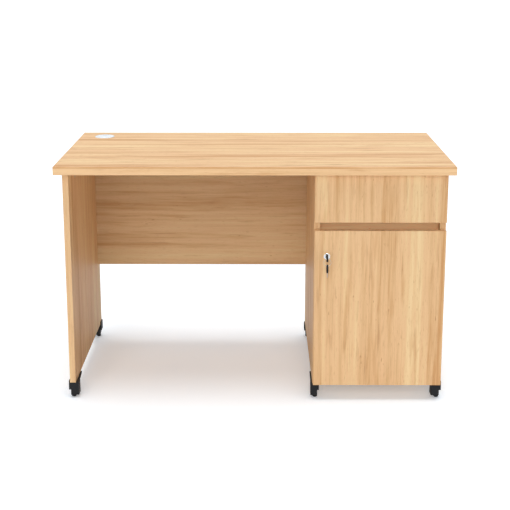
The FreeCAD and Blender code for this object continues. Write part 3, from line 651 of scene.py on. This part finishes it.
def screw_tree():
    """A pan head with a cross recess, on a threaded shank with a point. Its seat is at Z = 0."""
    tree, given = new_tree("pan_head_screw", (
        "Head Radius", "Head Height", "Shank Radius", "Length", "Thread Pitch", "Recess Width",
        "Recess Depth"))
    # The core, the point and the ridge of the thread, as shares of the thread's radius.
    core, point, ridge_radius = (
        add_node(tree, "ShaderNodeMath", {0: given["Shank Radius"], 1: share}, operation="MULTIPLY")
        for share in (0.7, 2.0, 0.3))
    straight = add_node(tree, "ShaderNodeMath", {0: given["Length"], 1: point}, operation="SUBTRACT")

    # At a share h of the way from its seat to its top, the head is sqrt(1 - h^2.5 / 2) of its full width.
    head = add_node(tree, "GeometryNodeMeshCylinder", {
        "Vertices": 24, "Side Segments": 4, "Radius": given["Head Radius"], "Depth": given["Head Height"]})
    spot = add_node(tree, "ShaderNodeSeparateXYZ", {"Vector": add_node(tree, "GeometryNodeInputPosition")})
    height = add_node(tree, "ShaderNodeMath", {0: spot.outputs["Z"], 1: given["Head Height"]},
                      operation="DIVIDE")
    drop = add_node(tree, "ShaderNodeMath", {0: 0.5, 1: height}, operation="SUBTRACT")
    crown = add_node(tree, "ShaderNodeMath", {0: drop, 1: 2.5}, operation="POWER")
    narrowing = add_node(tree, "ShaderNodeMath", {0: crown, 1: -0.5, 2: 1.0}, operation="MULTIPLY_ADD")
    width = add_node(tree, "ShaderNodeMath", {0: narrowing}, operation="SQRT")
    spread = add_node(tree, "ShaderNodeCombineXYZ", {"X": width, "Y": width, "Z": 1.0})
    crowned = add_node(tree, "ShaderNodeVectorMath", {
        0: add_node(tree, "GeometryNodeInputPosition"), 1: spread}, operation="MULTIPLY")
    pan = add_node(tree, "GeometryNodeSetPosition", {"Geometry": head, "Position": crowned})

    recessed = add_node(tree, "GeometryNodeMeshBoolean", operation="DIFFERENCE", solver="EXACT")
    # Each slot is 1.1 times as long as the head's radius. Its block is centred on the head's top, so only
    # half of the block's depth cuts.
    reach = add_node(tree, "ShaderNodeMath", {0: given["Head Radius"], 1: 1.1}, operation="MULTIPLY")
    deep = add_node(tree, "ShaderNodeMath", {0: given["Recess Depth"], 1: 2.0}, operation="MULTIPLY")
    for long_side, short_side in (("X", "Y"), ("Y", "X")):
        size = add_node(tree, "ShaderNodeCombineXYZ", {
            long_side: reach, short_side: given["Recess Width"], "Z": deep})
        slot = add_node(tree, "GeometryNodeMeshCube", {"Size": size})
        tree.links.new(raised(tree, slot, given["Head Height"], -1.0), recessed.inputs["Mesh 2"])
    tree.links.new(raised(tree, pan, given["Head Height"], -0.5), recessed.inputs["Mesh 1"])

    shank = add_node(tree, "GeometryNodeMeshCylinder", {"Vertices": 12, "Radius": core, "Depth": straight})
    tip = add_node(tree, "GeometryNodeMeshCone", {
        "Vertices": 12, "Radius Top": 0.0, "Radius Bottom": core, "Depth": point})
    turns = add_node(tree, "ShaderNodeMath", {0: straight, 1: given["Thread Pitch"]}, operation="DIVIDE")
    path = add_node(tree, "GeometryNodeCurveSpiral", {
        "Resolution": 12, "Rotations": turns, "Start Radius": core, "End Radius": core, "Height": straight})
    ridge = add_node(tree, "GeometryNodeCurvePrimitiveCircle", {"Resolution": 3, "Radius": ridge_radius},
                     mode="RADIUS")
    thread = add_node(tree, "GeometryNodeCurveToMesh", {
        "Curve": path, "Profile Curve": ridge, "Fill Caps": True})
    screw = add_node(tree, "GeometryNodeJoinGeometry")
    for part in (recessed.outputs["Mesh"], thread.outputs[0], raised(tree, tip, straight, 1.0),
                 raised(tree, shank, straight, 0.5)):
        tree.links.new(part, screw.inputs[0])
    place_copies(tree, given, screw)
    return tree


def ring_tree():
    """A split ring: flat wire wound for nearly two turns."""
    tree, given = new_tree("split_ring", ("Radius", "Wire Width", "Wire Thickness", "Turns"))
    path = add_node(tree, "GeometryNodeCurveSpiral", {
        "Resolution": 64, "Rotations": given["Turns"], "Start Radius": given["Radius"],
        "End Radius": given["Radius"], "Height": given["Wire Thickness"]})
    section = add_node(tree, "GeometryNodeCurvePrimitiveQuadrilateral", {
        "Width": given["Wire Thickness"], "Height": given["Wire Width"]}, mode="RECTANGLE")
    corner = add_node(tree, "ShaderNodeMath", {0: given["Wire Thickness"], 1: 0.3}, operation="MULTIPLY")
    eased = add_node(tree, "GeometryNodeFilletCurve", {
        "Curve": section, "Radius": corner, "Count": 3, "Limit Radius": True}, mode="POLY")
    coil = add_node(tree, "GeometryNodeCurveToMesh", {
        "Curve": path, "Profile Curve": eased, "Fill Caps": True})
    place_copies(tree, given, raised(tree, coil, given["Wire Thickness"], -0.5))
    return tree


def grow(tree, points, axes, material, sizes):
    """The plain mesh that a tree makes on the given points."""
    places = bpy.data.meshes.new("places")
    places.from_pydata(points, [], [])
    turned = places.attributes.new("axis", "FLOAT_VECTOR", "POINT")
    for item, axis in zip(turned.data, axes):
        item.vector = axis
    holder = linked("places", places)
    modifier = holder.modifiers.new("growth", "NODES")
    modifier.node_group = tree
    values = dict(sizes, Material=material)
    for item in tree.interface.items_tree:
        if item.in_out == "INPUT" and item.name in values:
            modifier[item.identifier] = values[item.name]
    return evaluated(holder)


def new_piece(name, meshes, material, body, slot, *replaced):
    """One object on a body, made of meshes that stand where they belong."""
    shape = bmesh.new()
    for mesh in meshes:
        shape.from_mesh(mesh)
    joined = bpy.data.meshes.new(name)
    shape.to_mesh(joined)
    shape.free()
    piece = linked(name, joined)
    put(piece, material)
    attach(piece, body)
    if replaced:
        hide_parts(*replaced)
    return piece


def separate_solids(node):
    """The points of each solid of a CAD node, in order of their places."""
    shape = bmesh.new()
    shape.from_mesh(NODES[node].data)
    bmesh.ops.remove_doubles(shape, verts=shape.verts, dist=WELD)
    waiting = set(shape.verts)
    solids = []
    while waiting:
        reached = [waiting.pop()]
        solid = []
        while reached:
            vertex = reached.pop()
            solid.append(vertex.co.copy())
            for edge in vertex.link_edges:
                other = edge.other_vert(vertex)
                if other in waiting:
                    waiting.remove(other)
                    reached.append(other)
        solids.append(solid)
    shape.free()
    return sorted(solids, key=lambda solid: tuple(round(value, DIGITS) for value in solid_middle(solid)))


def solid_middle(solid):
    return [(min(point[i] for point in solid) + max(point[i] for point in solid)) / 2 for i in range(3)]


def read_screw(solid):
    """A screw's seat, direction, length under the head and head radius, from its solid's points."""
    middle = Vector(solid_middle(solid))
    reach = [max(abs(point[i] - middle[i]) for point in solid) for i in range(3)]
    along = reach.index(max(reach))
    head_radius = min(reach)
    # Points farther from the axis than this belong to the head.
    limit = head_radius / 1.3
    wide = [point[along] for point in solid
            if (point - middle).length_squared - (point[along] - middle[along]) ** 2 > limit ** 2]
    way = 1.0 if sum(wide) / len(wide) < middle[along] else -1.0
    direction = Vector([way if i == along else 0.0 for i in range(3)])
    head = max(wide) - min(wide)
    seat = middle - direction * (reach[along] - head)
    return seat, direction, round(2 * reach[along] - head, DIGITS), head_radius


class DESK_OT_screws(bpy.types.Operator):
    """Put a cross-recessed screw where each screw of the frame is"""
    bl_idname = "desk.screws"
    bl_label = "Screws"

    def execute(self, context):
        sizes = context.scene.desk_screws
        tree, zinc = screw_tree(), zinc_plate()
        for body in ("carcass", "drawer", "door"):
            node = body + "_screws"
            lengths = {}
            for solid in separate_solids(node):
                seat, direction, length, head_radius = read_screw(solid)
                lengths.setdefault(length, []).append((seat, direction))
            meshes = [grow(tree, [seat for seat, way in group], [way for seat, way in group], zinc, {
                "Head Radius": head_radius, "Head Height": sizes.head_height,
                "Shank Radius": sizes.shank_radius, "Length": length, "Thread Pitch": sizes.thread_pitch,
                "Recess Width": sizes.recess_width, "Recess Depth": sizes.recess_depth})
                for length, group in sorted(lengths.items())]
            new_piece(body + "_pan_screws", meshes, zinc, body, "zinc", node)
        return {"FINISHED"}


def flat_outline(name, outlines, thickness, edge):
    """A flat plate from closed outlines in the XY plane, later ones being holes, with rounded edges."""
    curve = bpy.data.curves.new(name, "CURVE")
    curve.dimensions = "2D"
    curve.fill_mode = "BOTH"
    curve.extrude = thickness / 2 - edge
    curve.bevel_depth = edge
    curve.bevel_resolution = 2
    curve.offset = -edge
    for outline in outlines:
        spline = curve.splines.new("POLY")
        spline.points.add(len(outline) - 1)
        for point, (x, y) in zip(spline.points, outline):
            point.co = (x, y, 0.0, 1.0)
        spline.use_cyclic_u = True
        spline.use_smooth = False
    mesh = evaluated(linked(name, curve))
    shape = bmesh.new()
    shape.from_mesh(mesh)
    bmesh.ops.remove_doubles(shape, verts=shape.verts, dist=WELD)
    bmesh.ops.recalc_face_normals(shape, faces=shape.faces)
    shape.to_mesh(mesh)
    shape.free()
    return mesh


def arc(centre, radius, start, stop, steps):
    """Points on a round stretch, in degrees."""
    angles = [math.radians(start + (stop - start) * k / steps) for k in range(steps + 1)]
    return [(centre[0] + radius * math.cos(a), centre[1] + radius * math.sin(a)) for a in angles]


def key_head(sizes, radius, thickness):
    """The moulded head in its own plane: X points to the blade's tip and the shoulder is at the origin."""
    centre = (-sizes.neck - radius, 0.0)
    half_neck = sizes.blade_height * 0.6
    neck_start, neck_end = -sizes.neck * 0.8, -sizes.neck * 0.5
    # The bow ends on both sides a little before it meets the neck.
    gap = math.degrees(math.asin(half_neck / radius)) * 1.3
    outline = arc(centre, radius, gap, 360 - gap, BOW_STEPS) + [
        (neck_start, -half_neck), (neck_end, -half_neck), (neck_end, half_neck), (neck_start, half_neck)]
    hole_centre = (centre[0] - radius + sizes.hole_inset, 0.0)
    hole = arc(hole_centre, sizes.hole_radius, 0, 360, HOLE_STEPS)[:-1]
    field = arc(centre, radius - sizes.rim, 0, 360, BOW_STEPS)[:-1]
    eyelet_radius = sizes.hole_radius * 1.6
    eyelet = arc(hole_centre, eyelet_radius, 0, 360, EYELET_STEPS)[:-1]
    panel, raised_part = thickness - 2 * sizes.panel_drop, thickness - sizes.panel_drop
    edge = thickness / 5
    plates = [flat_outline("head_panel", [outline, hole], panel, edge / 2),
              flat_outline("head_eyelet", [eyelet, hole], raised_part, edge / 4),
              flat_outline("head_rim", [outline, field], thickness, edge)]
    half_rib, half_length = sizes.rim / 3, radius * 0.42
    # The ribs stand a rim's width apart, from one before the bow's middle to two after it.
    for place in (-1, 0, 1, 2):
        x = centre[0] + place * sizes.rim
        rib = [(x - half_rib, -half_length), (x + half_rib, -half_length), (x + half_rib, half_length),
               (x - half_rib, half_length)]
        plates.append(flat_outline("head_rib", [rib], raised_part, half_rib / 2))
    return plates


def key_blade(sizes, tip):
    """The flat steel blade, with cuts along its lower edge, a blunt tip and a thicker land along its top."""
    half = sizes.blade_height / 2
    shoulder, blunt = half * 1.2, half * 0.3
    end = tip - half * 0.7
    # How far each cut's floor lies over the blade's lower edge, as a share of half the blade's height.
    floors = (0.30, 0.12, 0.36, 0.20, 0.42)
    step = end / (len(floors) + 0.6)
    mouth, width = step * 0.42, step * 0.16
    lower = []
    for number, share in enumerate(floors):
        x = end - step * (number + 0.55)
        floor = -half + share * half
        lower += [(x + mouth, -half), (x + width, floor), (x - width, floor), (x - mouth, -half)]
    upper = [(-sizes.neck, shoulder), (0.0, shoulder), (0.0, half), (end, half), (tip, blunt)]
    mirrored = [(x, -y) for x, y in reversed(upper)]
    outline = upper + mirrored[:2] + lower + mirrored[2:]
    edge = sizes.blade_thickness / 10
    web_thickness = sizes.blade_thickness * 0.7
    low, high = half * 0.35, half * 0.92
    land = [(-sizes.neck, low), (end, low), (end, high), (-sizes.neck, high)]
    return [flat_outline("blade", [outline], web_thickness, edge),
            flat_outline("blade_land", [land], sizes.blade_thickness, edge)]


def key_frames(sizes, radius):
    """For each key, the matrix from its own plane to where it is."""
    low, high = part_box("key")
    middle = (low + high) / 2
    shoulder = low.y + sizes.neck + 2 * radius
    in_lock = Matrix.Translation((middle.x, shoulder, middle.z)) @ Matrix((
        (0, 0, 1, 0), (1, 0, 0, 0), (0, 1, 0, 0), (0, 0, 0, 1)))
    low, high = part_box("spare_key")
    middle = (low + high) / 2
    shoulder = high.z - sizes.neck - 2 * radius
    hanging = Matrix.Translation((middle.x, middle.y, shoulder)) @ Matrix((
        (0, 0, 1, 0), (0, 1, 0, 0), (-1, 0, 0, 0), (0, 0, 0, 1)))
    return {"key": in_lock, "spare_key": hanging}


class DESK_OT_keys(bpy.types.Operator):
    """Make both keys with a moulded head and a steel blade, and the split ring that joins them"""
    bl_idname = "desk.keys"
    bl_label = "Keys and Ring"

    def execute(self, context):
        sizes = context.scene.desk_keys
        black, steel, nickel = black_moulding(), milled_steel(), nickel_plate()
        low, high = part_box("key")
        radius, thickness, tip = (high.z - low.z) / 2, high.x - low.x, high.y - low.y
        tip -= sizes.neck + 2 * radius
        for node, place in key_frames(sizes, radius).items():
            for part, meshes, finish, slot in (
                    ("head", key_head(sizes, radius, thickness), black, "black_plastic"),
                    ("blade", key_blade(sizes, tip), steel, "nickel")):
                for mesh in meshes:
                    mesh.transform(place)
                new_piece(node + "_" + part, meshes, finish, node, slot, node)
        low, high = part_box("key_ring")
        outer, across = (high.z - low.z) / 2, high.y - low.y
        ring = grow(ring_tree(), [(low + high) / 2], [Vector((0, 1, 0))], nickel, {
            "Radius": outer - sizes.wire_width / 2, "Wire Width": sizes.wire_width,
            "Wire Thickness": across / 2, "Turns": sizes.wire_turns})
        new_piece("split_ring", [ring], nickel, "key_ring", "nickel", "key_ring")
        return {"FINISHED"}


def shown_white(tree, colour, strength):
    """Background light of a colour and strength on the desk, and white where it is seen or mirrored."""
    path = add_node(tree, "ShaderNodeLightPath")
    seen = add_node(tree, "ShaderNodeMath", {
        0: path.outputs["Is Camera Ray"], 1: path.outputs["Is Glossy Ray"]}, operation="MAXIMUM")
    seen = add_node(tree, "ShaderNodeMath", {0: seen, 1: path.outputs["Is Transmission Ray"]},
                    operation="MAXIMUM")
    shown = add_node(tree, "ShaderNodeMix", {
        MIX_SHARE: seen, MIX_UNDER: rgba([c * strength for c in colour]), MIX_OVER: (1.0, 1.0, 1.0, 1.0)},
        data_type="RGBA")
    return add_node(tree, "ShaderNodeBackground", {"Color": shown.outputs[MIX_RESULT], "Strength": 1.0})


class DESK_OT_stage(bpy.types.Operator):
    """Set up the camera, the pale floor, the lamps and the white surroundings"""
    bl_idname = "desk.stage"
    bl_label = "Stage"

    def execute(self, context):
        stage = context.scene.desk_stage
        lens = bpy.data.cameras.new("camera")
        camera = linked("camera", lens)
        camera.location = (stage.camera_aside, WORKTOP_LOW.y - stage.camera_from_front, stage.camera_height)
        camera.rotation_euler = (math.pi / 2 - stage.pitch, 0.0, stage.yaw)
        lens.lens = stage.lens
        lens.sensor_width = 36.0
        lens.sensor_fit = "HORIZONTAL"
        lens.shift_y = stage.shift
        context.scene.camera = camera

        self.make_floor(stage)
        world = bpy.data.worlds.new("white_studio")
        world.use_nodes = True
        tree = world.node_tree
        tree.nodes.clear()
        background = shown_white(tree, stage.ambient_colour, stage.ambient)
        add_node(tree, "ShaderNodeOutputWorld", {"Surface": background})
        context.scene.world = world
        forward = (0.1, math.cos(stage.front_angle), -math.sin(stage.front_angle))
        # Each lamp's name, direction, spread in degrees and share of white.
        lamps = (("overhead_light", (-0.03, 0.04, -1.0), 38, stage.overhead),
                 ("front_light", forward, 40, stage.front_light))
        for name, direction, spread, share in lamps:
            lamp = bpy.data.lights.new(name, "SUN")
            lamp.angle = math.radians(spread)
            # At a strength of pi a sun lights a white surface that faces it to full white.
            lamp.energy = share * math.pi
            linked(name, lamp).rotation_euler = Vector(direction).to_track_quat("-Z", "Y").to_euler()
        context.scene.view_settings.view_transform = "Standard"
        return {"FINISHED"}

    def make_floor(self, stage):
        mesh = bpy.data.meshes.new("floor")
        half = 30.0
        corners = [(-half, -half, 0), (half, -half, 0), (half, half, 0), (-half, half, 0)]
        mesh.from_pydata(corners, [], [(0, 1, 2, 3)])
        floor = linked("floor", mesh)
        material, tree, shader = new_finish("matt_paper_sweep", Base_Color=rgba(stage.floor), Roughness=1.0,
                                            Specular_IOR_Level=0.0)
        path = add_node(tree, "ShaderNodeLightPath")
        lift = add_node(tree, "ShaderNodeMath", {
            0: path.outputs["Is Camera Ray"], 1: stage.floor_lift}, operation="MULTIPLY")
        shader.inputs["Emission Color"].default_value = (1.0, 1.0, 1.0, 1.0)
        tree.links.new(lift.outputs[0], shader.inputs["Emission Strength"])
        put(floor, material)


STEPS = (DESK_OT_stage, DESK_OT_boards, DESK_OT_edge_bands, DESK_OT_drawer_box, DESK_OT_metalwork,
         DESK_OT_mouldings, DESK_OT_screws, DESK_OT_keys)
GROUPS = {"desk_oak": OakSettings, "desk_fittings": FittingSettings, "desk_screws": ScrewSettings,
          "desk_keys": KeySettings, "desk_band": EdgeBandSettings, "desk_stage": StageSettings}


class DESK_PT_panel(bpy.types.Panel):
    """Lists the steps that dress the desk, and their settings"""
    bl_idname = "DESK_PT_panel"
    bl_label = "Office Desk"
    bl_space_type = "VIEW_3D"
    bl_region_type = "UI"
    bl_category = "Office Desk"

    def draw(self, context):
        for step in STEPS:
            self.layout.operator(step.bl_idname)
        for name, group in GROUPS.items():
            box = self.layout.box()
            for setting in group.__annotations__:
                box.prop(getattr(context.scene, name), setting)


def register():
    for group in GROUPS.values():
        bpy.utils.register_class(group)
    for name, group in GROUPS.items():
        setattr(bpy.types.Scene, name, bpy.props.PointerProperty(type=group))
    for cls in STEPS + (DESK_PT_panel,):
        bpy.utils.register_class(cls)


def unregister():
    for cls in reversed(STEPS + (DESK_PT_panel,)):
        bpy.utils.unregister_class(cls)
    for name in GROUPS:
        delattr(bpy.types.Scene, name)
    for group in GROUPS.values():
        bpy.utils.unregister_class(group)


def main():
    register()
    bpy.ops.desk.stage()
    bpy.ops.desk.boards()
    bpy.ops.desk.edge_bands()
    bpy.ops.desk.drawer_box()
    bpy.ops.desk.metalwork()
    bpy.ops.desk.mouldings()
    bpy.ops.desk.screws()
    bpy.ops.desk.keys()


if __name__ == "__main__":
    main()
